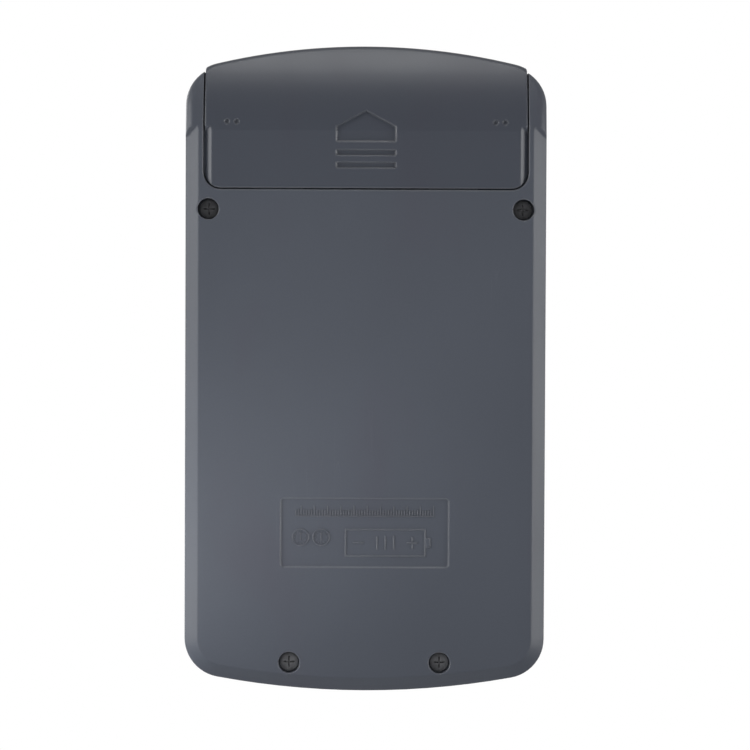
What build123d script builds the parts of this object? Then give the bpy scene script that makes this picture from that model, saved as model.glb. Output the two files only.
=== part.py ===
from build123d import *
import math
import os

# Pocket calculator, back face down on the XY plane, keys up, display end toward +Y. Millimetres.

# overall form
body_width = 68.0
bottom_end = -61.0
housing_end = 60.4
cover_end = 61.0
keypad_height = 12.4
bottom_arc = 155.0
top_arc = 118.0
plan_corner = 7.5
wall = 1.6
core_depth = 1.2
back_bevel = 2.5
back_bevel_deep = 1.5
front_edge_round = 2.4
tall = 40.0
profile_bend = 14.0

# front profile: keypad plane, display slope, crown
slope_start = 15.0
slope_angle = 15.6
slope_end = 41.5
crown_mid = 48.5
crown_angle = 9.0
crown_fall = 8.0

# nose: the back curves away from the rest plane beyond the crease
crease = 44.8
nose_angle = 8.0
nose_radius = 30.0
nose_edge_round = 1.6
nose_margin = 0.01
run_out = 1.0
run_out_lean = 1.7

# parting of the two housings
parting = 8.6
lip_depth = 1.0
lip_wall = 0.7
lip_gap = 0.12

# battery cover and its opening
cover_half = 30.35
cover_gap = 0.3
cover_start = 34.0
cover_wall = 1.4
cover_corner = 3.0
cover_end_corner = 1.1
cover_bevel = 1.3
cover_bevel_deep = 0.8

# cell
cell_radius = 7.25
cell_body = 49.5
cell_nub = 1.0
cell_nub_radius = 2.75
cell_y = 47.3
cell_lift = 1.1

# battery tray
tray_wall = 1.0
roof_gap = 0.3
tray_half = 28.6
ledge_drop = 4.25
pocket_start = 31.0
roof_end = 52.6
contact_thick = 0.4
nub_offset = 1.2
spring_wire = 0.5
spring_sides = 6

# rails that hold the cover down
rail_gap = 0.3
rail_reach = 1.1
rail_thick = 0.9
rail_end = 44.6

# keys
key_columns = 5
key_rows = 5
column_pitch = 11.5
row_pitch = 13.4
key_top_row = 6.5
key_wide = 8.8
key_long = 8.6
key_corner = 1.8
key_flange = 0.5
key_flange_thick = 0.8
key_under_plate = 0.2
key_rise = 1.8
key_side_gap = 0.25
key_wall = 1.1
key_stem = 2.8
key_edge_chamfer = 0.4

# board and dome sheet
board_thick = 1.0
board_half = 31.8
board_bottom = -52.5
board_top = 13.0
mat_half = 28.0
mat_thick = 0.8
mat_bottom = -52.0
mat_top = 10.5
dome_radius = 3.1
dome_rise = 1.7
dome_gap = 0.1
dome_wall = 0.5

# display, measured along the slope from its foot
display_centre = 12.3
lens_wide = 54.0
lens_long = 17.5
lens_thick = 1.2
lens_sink = 0.1
lens_corner = 2.0
lens_gap = 0.1
tape_thick = 0.15
window_wide = 46.0
window_long = 12.5
seat_thick = 1.2
glass_wide = 50.0
glass_long = 17.0
glass_thick = 1.8
glass_gap = 0.1
holder_wall = 1.0
holder_floor = 0.8

# fasteners
case_head_radius = 1.8
case_head_thick = 1.2
case_shank_radius = 1.0
well_radius = 2.0
boss_wall = 1.2
well_floor = 1.3
web_half = 2.4
web_end = -59.2
lower_well = (14.2, -55.6)
upper_well = (29.7, 30.0)
lower_well_depth = 2.9
upper_well_depth = 6.4
screw_fit = 0.02
shank_clearance = 0.2
case_shank_length = 7.0
post_radius = 2.4
post_gap = 0.05
board_screw_x = 30.0
board_screw_y = (-46.0, -18.5, 9.0)
board_post_radius = 1.7
board_head_radius = 1.5
board_head_thick = 0.9
board_shank_radius = 0.7
board_shank_length = 3.6

# back details
label_wide = 31.7
label_long = 13.0
label_centre = -31.0
label_depth = 0.3
grip_depth = 0.45
grip_wide = 11.2
grip_base = 42.8
grip_eave = 45.6
grip_tip = 48.6
grip_bars = (40.7, 38.35)
grip_bar_long = 1.0
pip_radius = 0.45
pip_depth = 0.25
pip_places = (24.4, 26.2)
pip_y = 46.4

# small sizes
seat_gap = 0.03
cradle_gap = 0.2
cradle_x = 14.0
contact_side = 3.05
contact_under = 2.5
contact_over = 2.0
guide_gap = 0.1
guide_wide = 0.8
guide_reach = 0.9
slot_gap = 0.2
tail_low = 8.0
tail_high = 10.4
tail_end = 37.4
spring_turns = 3
spring_radius = 3.4
lead_radius = 0.55
lead_bend = 3.0
rest_x = 25.0
rest_y = (-38.0, -8.0)
rest_gap = 0.05
rest_radius = 1.2
rib_x = 19.0
rib_wide = 0.8
rib_rise = 1.2
rib_low = -50.0
rib_high = 26.0
rib_cross = (-46.0, -14.0, 18.0)
label_corner = 0.6
seat_border = 2.0
glass_ledge = 2.0
ribbon_wide = 42.0
ribbon_thick = 0.2
ribbon_pad = 2.0
cover_seam = 0.12
lug_web = 1.0
lug_thick = 1.0
lug_long = 3.0
lug_y = (39.2, 43.6)
tongue_gap = 0.15
tongue_thick = 0.6
tongue_x = 12.0
tongue_wide = 9.0
board_corner = 1.5
small_corner = 1.0
cell_edge_chamfer = 0.4
chip_radius = 5.0
chip_height = 1.4
chip_x = 4.0
chip_y = -22.0
chip_parts = ((-6.0, -12.0), (-2.0, -12.0), (12.0, -12.0))

# values that follow from the ones above
half = body_width / 2
plate_under = keypad_height - wall
key_bottom = plate_under - key_under_plate - key_flange_thick
key_top = keypad_height + key_rise
dome_top = key_bottom - dome_gap
mat_z = dome_top - dome_rise - mat_thick
board_z = mat_z - board_thick
slope_plane = Plane(
    origin=(0, slope_start, keypad_height),
    x_dir=(1, 0, 0),
    z_dir=(0, -math.sin(math.radians(slope_angle)), math.cos(math.radians(slope_angle))),
)
opening_half = cover_half + cover_gap
opening_start = cover_start - cover_gap
rail_z = cover_wall + 0.35
cell_z = cover_wall + cell_lift + cell_radius
contact_wide = 2 * (cell_radius - contact_side)
contact_low = cell_z - cell_radius + contact_under
contact_high = cell_z + cell_radius - contact_over
cell_low = tray_half - nub_offset - cell_nub - cell_body
seat_high = -lens_sink - lens_thick - tape_thick
seat_low = seat_high - seat_thick
glass_high = seat_low - 0.05
holder_low = glass_high - glass_thick - 0.1 - holder_floor


def plan(inset, end):
    """Outline seen from above, with arched ends."""
    band = Rectangle(2 * (half - inset), 400)
    top = Pos(0, end - top_arc) * Circle(top_arc - inset)
    bottom = Pos(0, bottom_end + bottom_arc) * Circle(bottom_arc - inset)
    outline = band & top & bottom
    return fillet(outline.vertices(), plan_corner - inset)


def side_face(points):
    """A face in the YZ plane from (y, z) points."""
    return Plane.YZ * make_face(Polyline(*points, close=True))


def front_profile(inset):
    """Side view of the body: keypad plane, display slope and crown."""
    rise = math.tan(math.radians(slope_angle))
    slope_top = keypad_height + (slope_end - slope_start) * rise
    crown_top = slope_top + (crown_mid - slope_end) * math.tan(math.radians(crown_angle))
    far = 120.0
    fall = crown_top - (far - crown_mid) * math.tan(math.radians(crown_fall))
    points = (
        (-far, 0),
        (-far, keypad_height),
        (slope_start, keypad_height),
        (slope_end, slope_top),
        (crown_mid, crown_top),
        (far, fall),
        (far, 0),
    )
    face = make_face(Polyline(*points, close=True))
    bends = face.vertices().filter_by(lambda v: abs(v.X) < far - 1)
    face = fillet(bends, profile_bend)
    if inset > 0:
        face = offset(face, -inset, kind=Kind.INTERSECTION)
    return Plane.YZ * face


def beyond_crease():
    """Everything past the crease, leaning so that a bevel runs out there."""
    far = 200.0
    start = crease + run_out
    points = ((start, 0), (start - run_out_lean * tall, tall), (far, tall), (far, 0))
    return extrude(side_face(points), half + 10, both=True)


def body_block(inset, end):
    """Plan and side profile crossed. Outside, the back has a bevel up to the crease and the front a rounded rim."""
    block = extrude(Plane.XY.offset(inset) * plan(inset, end), tall)
    if inset == 0:
        flare = math.degrees(math.atan(back_bevel / back_bevel_deep))
        bevel = extrude(plan(back_bevel, end), back_bevel_deep, taper=-flare)
        plain = extrude(plan(0, end), back_bevel_deep) & beyond_crease()
        block = block & span((-half, half), (-80, 80), (back_bevel_deep, tall))
        block = block + bevel + plain
    block = block & extrude(front_profile(inset), half + 10, both=True)
    if inset > 0:
        return block
    rim = block.edges().filter_by(lambda e: e.center().Z > parting + 1)
    rim = rim.filter_by(Axis.X, reverse=True).filter_by(Axis.Z, reverse=True)
    return fillet(rim, front_edge_round)


def nose_profile(inset):
    """Side view of the nose: flat to the crease, then an arc that leans more and more."""
    far = 150.0
    lean = math.radians(nose_angle)
    centre_y = crease - nose_radius * math.sin(lean)
    centre_z = nose_radius * math.cos(lean)
    radius = nose_radius - inset
    start = math.degrees(math.acos((centre_z - inset) / radius))
    foot_y = centre_y + radius * math.sin(math.radians(start))
    with BuildLine() as line:
        Polyline(
            (centre_y + radius, centre_z),
            (centre_y + radius, 2 * tall),
            (-far, 2 * tall),
            (-far, inset),
            (foot_y, inset),
        )
        CenterArc((centre_y, centre_z), radius, start - 90, 90 - start)
    return Plane.YZ * make_face(line.line)


def nose_block(inset, end):
    """The same plan cut by the curved nose, its edge rounded outside."""
    block = extrude(Plane.XY.offset(-2 * tall) * plan(inset - nose_margin, end), 4 * tall)
    block = block & extrude(nose_profile(inset), half + 10, both=True)
    if inset > 0:
        return block
    loop = block.edges().filter_by(lambda e: e.center().Y > crease + 1 and e.center().Z < parting)
    return fillet(loop, nose_edge_round)


def envelope(inset, end):
    return body_block(inset, end) & nose_block(inset, end)


def span(x, y, z):
    """A block between the low and high limits given for each axis."""
    size = [high - low for low, high in (x, y, z)]
    centre = [(low + high) / 2 for low, high in (x, y, z)]
    return Pos(*centre) * Box(*size)


def rod(x, y, z, radius):
    """An upright cylinder between two heights."""
    low, high = z
    return Pos(x, y, (low + high) / 2) * Cylinder(radius, high - low)


def both_sides(shape):
    """The shape and its mirror image across the middle of the body."""
    return shape + mirror(shape, Plane.YZ)


def on_slope(sketch, low, high):
    """A prism standing on the display slope, heights measured outward from its face."""
    placed = slope_plane * Pos(0, display_centre, low) * sketch
    return extrude(placed, high - low, dir=slope_plane.z_dir)


# ---- layout of the keypad ----

def key_layout():
    """Name, column, row and number of rows of each key."""
    rows = (
        ("key_recall", "key_memory_minus", "key_memory_plus", "key_root", "key_off"),
        ("key_7", "key_8", "key_9", "key_percent", "key_sign"),
        ("key_4", "key_5", "key_6", "key_times", "key_divide"),
        ("key_1", "key_2", "key_3", "key_minus", "key_plus"),
        ("key_on_clear", "key_0", "key_point", "key_equals"),
    )
    for row, names in enumerate(rows):
        for column, name in enumerate(names):
            yield name, column, row, 2 if name == "key_plus" else 1


def key_place(column, row, tall_rows):
    """Centre and size of a key on the keypad plane."""
    x = (column - (key_columns - 1) / 2) * column_pitch
    y = key_top_row - row * row_pitch - (tall_rows - 1) * row_pitch / 2
    long = key_long + (tall_rows - 1) * row_pitch
    return x, y, long


# ---- rear housing ----

def opening_prism(low, high):
    """The notch in the back shell that the battery cover closes."""
    far = 80.0
    notch = Pos(0, (opening_start + far) / 2) * Rectangle(2 * opening_half, far - opening_start)
    corners = notch.vertices().group_by(Axis.Y)[0]
    notch = fillet(corners, cover_corner + cover_gap)
    return extrude(Plane.XY.offset(low) * notch, high - low)


def tray_section(radius, low, end):
    """Side view of the battery tray: upright wall, quarter-round roof, flat top."""
    with BuildLine() as line:
        Polyline(
            (cell_y, cell_z + radius),
            (end, cell_z + radius),
            (end, low),
            (cell_y - radius, low),
            (cell_y - radius, cell_z),
        )
        RadiusArc((cell_y - radius, cell_z), (cell_y, cell_z + radius), radius)
    return Plane.YZ * make_face(line.line)


def battery_tray(core):
    """Roofed tray for the cell, stepped out over the sliding cover."""
    inside = cell_radius + roof_gap
    step_top = ledge_drop + tray_wall
    step = span((-half, half), (pocket_start - tray_wall, 80), (0, step_top)) & core
    roof = extrude(tray_section(inside + tray_wall, ledge_drop, roof_end), tray_half + tray_wall, both=True)
    room = extrude(tray_section(inside, 0, roof_end + 5), tray_half, both=True)
    pocket = span((-opening_half + 3, opening_half - 3), (pocket_start, opening_start + 5), (wall, ledge_drop))
    beyond = span((-half, half), (roof_end, 80), (ledge_drop, step_top))
    sides = span((opening_half, half), (roof_end, 80), (0, step_top))
    tray = step - (beyond - both_sides(sides)) + roof - room - opening_prism(-1, ledge_drop) - pocket
    return tray + cradle_ribs() + contact_guides()


def cradle_ribs():
    """Two saddles under the roof that hold the cell away from the end wall."""
    ring = Circle(cell_radius + roof_gap + tray_wall) - Circle(cell_radius + cradle_gap)
    sector = ring & (Pos(4.5, 5) * Rectangle(11, 10))
    rib = extrude(Plane.YZ.offset(cradle_x) * Pos(cell_y, cell_z) * sector, tray_wall)
    return both_sides(rib)


def contact_guides():
    """Pairs of small ribs that locate the contact plates on the tray's end walls."""
    guides = None
    for side in (-1, 1):
        y = cell_y + side * (contact_wide / 2 + guide_gap + guide_wide / 2)
        rib = span(
            (tray_half - guide_reach, tray_half + 0.2),
            (y - guide_wide / 2, y + guide_wide / 2),
            (contact_low, contact_high),
        )
        guides = rib if guides is None else guides + rib
    return both_sides(guides)


def case_boss(place, depth):
    """Sleeve round a screw well, with the screw's seat on its floor."""
    x, y = place
    return rod(x, y, (core_depth, depth + well_floor), well_radius + boss_wall)


def lower_boss_web():
    """Block that ties the lower sleeve to the end wall beside it."""
    x, y = lower_well
    block = span((x - web_half, x + web_half), (web_end, y), (core_depth, lower_well_depth + well_floor))
    return both_sides(block)


def case_well(place, depth):
    x, y = place
    shank = rod(x, y, (-1, depth + well_floor + 1), case_shank_radius + shank_clearance)
    return rod(x, y, (-1, depth), well_radius) + shank


def board_rests():
    """Pins on the back shell that the board lies against."""
    pins = None
    for y in rest_y:
        pin = rod(rest_x, y, (wall - 0.2, board_z - rest_gap), rest_radius)
        pins = pin if pins is None else pins + pin
    return both_sides(pins)


def floor_ribs():
    """Low stiffening ribs across and along the back shell."""
    ribs = both_sides(span((rib_x, rib_x + rib_wide), (rib_low, rib_high), (wall - 0.2, wall + rib_rise)))
    for y in rib_cross:
        ribs = ribs + span((-rib_x, rib_x), (y, y + rib_wide), (wall - 0.2, wall + rib_rise))
    return ribs


def cover_rails():
    """Ledges along the opening that the cover's lugs hook over."""
    rail = span(
        (opening_half - rail_reach, opening_half + 0.3),
        (opening_start + cover_corner, rail_end),
        (rail_z, rail_z + rail_thick),
    )
    return both_sides(rail)


def rear_housing(outer, inner, core):
    shell = (outer - inner) & span((-half, half), (-80, 80), (-1, parting))
    rebate = wall - lip_wall - lip_gap
    shell = shell - extrude(Plane.XY.offset(parting - lip_depth) * plan(rebate, housing_end), 5)
    shell = shell - opening_prism(-1, parting + 1)
    label = Pos(0, label_centre) * RectangleRounded(label_wide, label_long, label_corner)
    shell = shell + battery_tray(core) + cover_rails() + board_rests() + floor_ribs()
    for place, depth in ((lower_well, lower_well_depth), (upper_well, upper_well_depth)):
        shell = shell + both_sides(case_boss(place, depth))
    shell = shell + lower_boss_web()
    for place, depth in ((lower_well, lower_well_depth), (upper_well, upper_well_depth)):
        shell = shell - both_sides(case_well(place, depth))
    slot = span(
        (tray_half - contact_thick - slot_gap, tray_half + slot_gap),
        (cell_y - cell_radius - roof_gap - tray_wall - 1, cell_y - contact_wide / 2),
        (tail_low - slot_gap, tail_high + slot_gap),
    )
    return shell - both_sides(slot) - extrude(label, label_depth)


# ---- front housing ----

def keypad_apertures():
    cuts = None
    for name, column, row, tall_rows in key_layout():
        x, y, long = key_place(column, row, tall_rows)
        hole = RectangleRounded(key_wide + 2 * key_side_gap, long + 2 * key_side_gap, key_corner + key_side_gap)
        cut = extrude(Plane.XY.offset(plate_under - 1) * Pos(x, y) * hole, wall + 3)
        cuts = cut if cuts is None else cuts + cut
    return cuts


def row_ribs():
    """Ribs under the keypad plate between the rows of keys."""
    ribs = None
    for row in range(key_rows - 1):
        y = key_top_row - (row + 0.5) * row_pitch
        reach = mat_half
        stop = reach if row < key_rows - 2 else column_pitch * 1.5
        rib = span((-reach, stop), (y - rib_wide / 2, y + rib_wide / 2), (plate_under - rib_rise, plate_under + 0.2))
        ribs = rib if ribs is None else ribs + rib
    return ribs


def window_seat():
    """Thickened frame behind the display window."""
    block = RectangleRounded(lens_wide + 2 * seat_border, lens_long + 2 * seat_border, lens_corner)
    return on_slope(block, seat_low, -wall / 2)


def window_cuts():
    pocket = RectangleRounded(lens_wide + 2 * lens_gap, lens_long + 2 * lens_gap, lens_corner + lens_gap)
    through = RectangleRounded(window_wide, window_long, small_corner)
    return on_slope(pocket, seat_high, 5) + on_slope(through, seat_low - 5, 5)


def case_posts(within):
    posts = None
    for place, depth in ((lower_well, lower_well_depth), (upper_well, upper_well_depth)):
        x, y = place
        post = rod(x, y, (depth + well_floor + post_gap, tall), post_radius) & within
        posts = post if posts is None else posts + post
    return both_sides(posts)


def case_post_holes():
    holes = None
    for place, depth in ((lower_well, lower_well_depth), (upper_well, upper_well_depth)):
        x, y = place
        top = depth + case_shank_length + 0.4
        hole = rod(x, y, (depth, top), case_shank_radius + screw_fit)
        holes = hole if holes is None else holes + hole
    return both_sides(holes)


def board_posts():
    posts = None
    for y in board_screw_y:
        post = rod(board_screw_x, y, (mat_z, plate_under + 0.3), board_post_radius)
        posts = post if posts is None else posts + post
    return both_sides(posts)


def board_post_holes():
    holes = None
    for y in board_screw_y:
        hole = rod(board_screw_x, y, (mat_z - 1, board_z + board_shank_length + 0.3), board_shank_radius + screw_fit)
        holes = hole if holes is None else holes + hole
    return both_sides(holes)


def lap_tongue():
    """Lip that drops inside the rim of the back shell, left out where the cover runs."""
    ring = plan(wall - lip_wall, housing_end) - plan(wall, housing_end)
    tongue = extrude(Plane.XY.offset(parting - lip_depth + lip_gap) * ring, lip_depth - lip_gap)
    reach = opening_half + 1
    return tongue - span((-reach, reach), (opening_start, 80), (0, tall))


def front_housing(outer, inner, core):
    shell = (outer - inner) & span((-half, half), (-80, 80), (parting, tall))
    shell = shell + window_seat() + lap_tongue() + row_ribs() + board_posts()
    shell = shell + case_posts(core)
    return shell - keypad_apertures() - window_cuts() - case_post_holes() - board_post_holes()


# ---- battery cover ----

def cover_plan():
    """The cover seen from below, its arched end a hair outside the body's own."""
    far = 80.0
    sheet = Pos(0, (cover_start + far) / 2) * Rectangle(2 * cover_half, far - cover_start)
    sheet = sheet & (Pos(0, cover_end - top_arc) * Circle(top_arc + 2 * nose_margin))
    sheet = fillet(sheet.vertices().group_by(Axis.Y)[-1], cover_end_corner)
    return fillet(sheet.vertices().group_by(Axis.Y)[0], cover_corner)


def cover_edge_cut():
    """Bevel of the cover's long edges, up to the crease."""
    corner = make_face(Polyline(
        (cover_half - 2 * cover_bevel, -cover_bevel_deep),
        (cover_half + cover_bevel, -cover_bevel_deep),
        (cover_half + cover_bevel, 2 * cover_bevel_deep),
        close=True,
    ))
    strip = extrude(Plane.XZ.offset(-cover_end) * corner, cover_end)
    lean = beyond_crease() + span((-half, half), (crease + run_out, 80), (-1, 1))
    return both_sides(strip - lean)


def grip_sketch():
    """Arrow head with its base, and two finger grooves behind it."""
    reach = grip_wide / 2
    arrow = make_face(Polyline(
        (-reach, grip_base), (reach, grip_base), (reach, grip_eave), (0, grip_tip), (-reach, grip_eave), close=True,
    ))
    for y in grip_bars:
        arrow = arrow + Pos(0, y) * Rectangle(grip_wide, grip_bar_long)
    return arrow


def cover_lugs():
    """Hooks on the inside of the cover that run above the housing's rails."""
    lugs = None
    inner_x = opening_half - rail_reach - rail_gap - lug_web
    low = rail_z + rail_thick + rail_gap
    for y in lug_y:
        stretch = (y - lug_long / 2, y + lug_long / 2)
        web = span((inner_x, inner_x + lug_web), stretch, (cover_wall - 0.2, low + lug_thick))
        hook = span((inner_x, cover_half), stretch, (low, low + lug_thick))
        lug = web + hook
        lugs = lug if lugs is None else lugs + lug
    return both_sides(lugs)


def cover_tongues():
    """Flat tongues at the front edge that lie over the back shell."""
    low = wall + tongue_gap
    riser = span((tongue_x, tongue_x + tongue_wide), (cover_start + 0.1, cover_start + 1.5), (0.8, low + tongue_thick))
    flat = span(
        (tongue_x, tongue_x + tongue_wide),
        (pocket_start + tongue_gap + 0.3, cover_start + 1.5),
        (low, low + tongue_thick),
    )
    return both_sides(riser + flat)


def battery_cover():
    outer = envelope(0, cover_end)
    prism = extrude(Plane.XY.offset(-1) * cover_plan(), parting - cover_seam + 1)
    shell = (outer & prism) - envelope(cover_wall, cover_end) - cover_edge_cut()
    shell = shell - (extrude(Plane.XY.offset(-1) * grip_sketch(), 5) - envelope(grip_depth, cover_end))
    pips = None
    for x in pip_places:
        pip = rod(x, pip_y, (-1, 5), pip_radius)
        pips = pip if pips is None else pips + pip
    shell = shell - (both_sides(pips) - envelope(pip_depth, cover_end))
    return shell + cover_lugs() + cover_tongues()


# ---- keys ----

def key_shape(column, row, tall_rows):
    """Hollow cap with a flange under the plate and a square post over its dome."""
    x, y, long = key_place(column, row, tall_rows)
    flange_top = key_bottom + key_flange_thick
    base = RectangleRounded(key_wide, long, key_corner)
    cap = extrude(Plane.XY.offset(flange_top) * base, key_top - flange_top)
    cap = chamfer(cap.edges().group_by(Axis.Z)[-1], key_edge_chamfer)
    grow = 2 * key_flange
    flange = Rectangle(key_wide + grow, long + grow)
    cap = cap + extrude(Plane.XY.offset(key_bottom) * flange, key_flange_thick)
    shrink = 2 * key_wall
    room = Rectangle(key_wide - shrink, long - shrink)
    cap = cap - extrude(Plane.XY.offset(key_bottom) * room, key_top - key_wall - key_bottom)
    post = extrude(Plane.XY.offset(key_bottom) * Rectangle(key_stem, key_stem), key_top - key_wall - key_bottom)
    return Pos(x, y, 0) * (cap + post)


# ---- board, dome sheet and what the board carries ----

def circuit_board():
    outline = Pos(0, (board_bottom + board_top) / 2) * RectangleRounded(2 * board_half, board_top - board_bottom, board_corner)
    board = extrude(Plane.XY.offset(board_z) * outline, board_thick)
    for y in board_screw_y:
        board = board - both_sides(rod(board_screw_x, y, (board_z - 1, mat_z + 1), board_shank_radius + shank_clearance))
    return board


def key_mat():
    """Silicone sheet with one hollow dome under each key."""
    outline = Pos(0, (mat_bottom + mat_top) / 2) * RectangleRounded(2 * mat_half, mat_top - mat_bottom, small_corner)
    sheet = extrude(Plane.XY.offset(mat_z) * outline, mat_thick)
    for name, column, row, tall_rows in key_layout():
        x, y, long = key_place(column, row, tall_rows)
        dome = rod(x, y, (mat_z + mat_thick / 2, dome_top), dome_radius)
        hollow = rod(x, y, (mat_z - 1, dome_top - dome_wall), dome_radius - dome_wall)
        sheet = sheet + dome - hollow
    return sheet


def chip_cover():
    """Shallow potting dome on the underside of the board."""
    ball = (chip_radius ** 2 + chip_height ** 2) / (2 * chip_height)
    dome = Pos(chip_x, chip_y, board_z + ball - chip_height) * Sphere(ball)
    return dome & span((chip_x - 20, chip_x + 20), (chip_y - 20, chip_y + 20), (board_z - chip_height, board_z))


def board_components():
    """Capacitor, crystal and three small chip parts under the board."""
    can = Pos(-15, 2, board_z - 1.6) * Rot(0, 90, 0) * Cylinder(1.6, 6.5)
    crystal = Pos(15, -2, board_z - 1.0) * Rot(0, 90, 0) * Cylinder(1.0, 6.0)
    chips = [span((x - 1.0, x + 1.0), (y - 0.6, y + 0.6), (board_z - 0.6, board_z)) for x, y in chip_parts]
    return Compound([can, crystal] + chips)


# ---- display ----

def display_lens():
    return on_slope(RectangleRounded(lens_wide, lens_long, lens_corner), -lens_sink - lens_thick, -lens_sink)


def lens_adhesive():
    border = RectangleRounded(lens_wide - 0.4, lens_long - 0.4, lens_corner)
    ring = border - RectangleRounded(window_wide + 0.6, window_long + 0.6, small_corner)
    return on_slope(ring, seat_high, seat_high + tape_thick)


def lcd_panel():
    """Front glass and a shorter rear glass, so that the contact ledge is bare."""
    front = on_slope(Rectangle(glass_wide, glass_long), glass_high - glass_thick / 2, glass_high)
    rear = Pos(0, glass_ledge / 2) * Rectangle(glass_wide, glass_long - glass_ledge)
    return front + on_slope(rear, glass_high - glass_thick, glass_high - glass_thick / 2)


def lcd_holder():
    """Frame that presses the glass against the window seat, open at the ribbon's edge."""
    wide = glass_wide + 2 * (glass_gap + holder_wall)
    long = glass_long + 2 * (glass_gap + holder_wall)
    frame = on_slope(RectangleRounded(wide, long, small_corner), holder_low, seat_low)
    pocket = Rectangle(glass_wide + 2 * glass_gap, glass_long + 2 * glass_gap)
    frame = frame - on_slope(pocket, holder_low + holder_floor, seat_low + 1)
    frame = frame - on_slope(RectangleRounded(window_wide - 4, window_long - 3, small_corner), holder_low - 1, seat_low)
    mouth = Pos(0, -long / 2) * Rectangle(ribbon_wide + 2, 2 * (holder_wall + glass_ledge + 0.6))
    return frame - on_slope(mouth, holder_low - 1, glass_high - glass_thick / 2)


def slope_point(along, out):
    """(y, z) of a point given along the slope and out of its face."""
    lean = math.radians(slope_angle)
    y = slope_start + along * math.cos(lean) - out * math.sin(lean)
    z = keypad_height + along * math.sin(lean) + out * math.cos(lean)
    return y, z


def lcd_ribbon():
    """Flat ribbon from the glass ledge down to the top edge of the board."""
    ledge = glass_high - glass_thick / 2 - ribbon_thick / 2
    foot = display_centre - glass_long / 2
    path = FilletPolyline(
        (board_top - ribbon_pad, mat_z + ribbon_thick / 2),
        (board_top + 1.4, mat_z + ribbon_thick / 2),
        slope_point(foot - 1.9, ledge),
        slope_point(foot + glass_ledge - 0.2, ledge),
        radius=1.2,
    )
    strip = trace(path, ribbon_thick)
    return extrude(Plane.YZ * strip, ribbon_wide / 2, both=True)


# ---- cell and contacts ----

def along_x(x_low, x_high, radius):
    """A cylinder on the cell's axis."""
    return Pos((x_low + x_high) / 2, cell_y, cell_z) * Rot(0, 90, 0) * Cylinder(radius, x_high - x_low)


def aa_cell():
    can = along_x(cell_low, cell_low + cell_body, cell_radius)
    can = chamfer(can.edges().filter_by(GeomType.CIRCLE), cell_edge_chamfer)
    return can + along_x(cell_low + cell_body - 0.2, cell_low + cell_body + cell_nub, cell_nub_radius)


def contact_plate():
    """Plate on the tray's end wall with a tail out through the wall's slot."""
    face = span(
        (tray_half - contact_thick, tray_half - seat_gap),
        (cell_y - contact_wide / 2, cell_y + contact_wide / 2),
        (contact_low, contact_high),
    )
    tail = span(
        (tray_half - contact_thick, tray_half - seat_gap),
        (tail_end, cell_y - contact_wide / 2 + 0.2),
        (tail_low, tail_high),
    )
    return face + tail


def positive_contact():
    button = along_x(cell_low + cell_body + cell_nub + seat_gap, tray_half - contact_thick, 1.9)
    return contact_plate() + button


def negative_contact():
    return mirror(contact_plate(), Plane.YZ)


def contact_spring():
    """Coil between the plate and the flat end of the cell."""
    start = -tray_half + contact_thick + seat_gap + spring_wire / 2
    length = cell_low - seat_gap - spring_wire / 2 - start
    coil = Helix(length / spring_turns, length, spring_radius)
    section = Plane(origin=coil @ 0, z_dir=coil % 0) * RegularPolygon(spring_wire / 2, spring_sides)
    wire = sweep(section, coil)
    return Pos(start, cell_y, cell_z) * Rot(0, 90, 0) * wire


def lead():
    """Wire from a contact tail down to the underside of the board."""
    end_z = board_z - lead_radius - seat_gap
    points = (
        (tray_half - contact_thick - lead_radius - seat_gap, tail_end + 0.6, (tail_low + tail_high) / 2),
        (25.2, 34.0, 8.6),
        (24.6, 24.0, 7.0),
        (24.2, 15.5, end_z),
        (24.2, 8.5, end_z),
    )
    path = FilletPolyline(*points, radius=lead_bend)
    section = Plane(origin=path @ 0, z_dir=path % 0) * Circle(lead_radius)
    return sweep(section, path)


# ---- screws ----

def case_screw(place, depth):
    x, y = place
    head = rod(x, y, (depth - case_head_thick, depth), case_head_radius)
    return head + rod(x, y, (depth - 0.2, depth + case_shank_length), case_shank_radius)


def screw_pair(place, depth):
    screw = case_screw(place, depth)
    return Compound([screw, mirror(screw, Plane.YZ)])


def board_screws():
    screws = []
    for x in (-board_screw_x, board_screw_x):
        for y in board_screw_y:
            head = rod(x, y, (board_z - board_head_thick, board_z), board_head_radius)
            screws.append(head + rod(x, y, (board_z - 0.2, board_z + board_shank_length), board_shank_radius))
    return Compound(screws)


def write(name, shape):
    export_step(shape, f"parts/{name}.step")


os.makedirs("parts", exist_ok=True)
case_outer = envelope(0, housing_end)
case_inner = envelope(wall, housing_end)
case_core = envelope(core_depth, housing_end)
write("rear_housing", rear_housing(case_outer, case_inner, case_core))
write("front_housing", front_housing(case_outer, case_inner, case_core))
write("battery_cover", battery_cover())
write("circuit_board", circuit_board())
write("key_mat", key_mat())
write("chip_cover", chip_cover())
write("board_components", board_components())
write("display_lens", display_lens())
write("lens_adhesive", lens_adhesive())
write("lcd_panel", lcd_panel())
write("lcd_holder", lcd_holder())
write("lcd_ribbon", lcd_ribbon())
write("aa_cell", aa_cell())
write("positive_contact", positive_contact())
write("negative_contact", negative_contact())
write("contact_spring", contact_spring())
write("positive_lead", lead())
write("negative_lead", mirror(lead(), Plane.YZ))
write("lower_case_screws", screw_pair(lower_well, lower_well_depth))
write("upper_case_screws", screw_pair(upper_well, upper_well_depth))
write("board_screws", board_screws())
for key_name, key_column, key_row, key_rows_tall in key_layout():
    write(key_name, key_shape(key_column, key_row, key_rows_tall))
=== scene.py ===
import math

import bmesh
import bpy
from mathutils import Matrix, Vector


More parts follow.
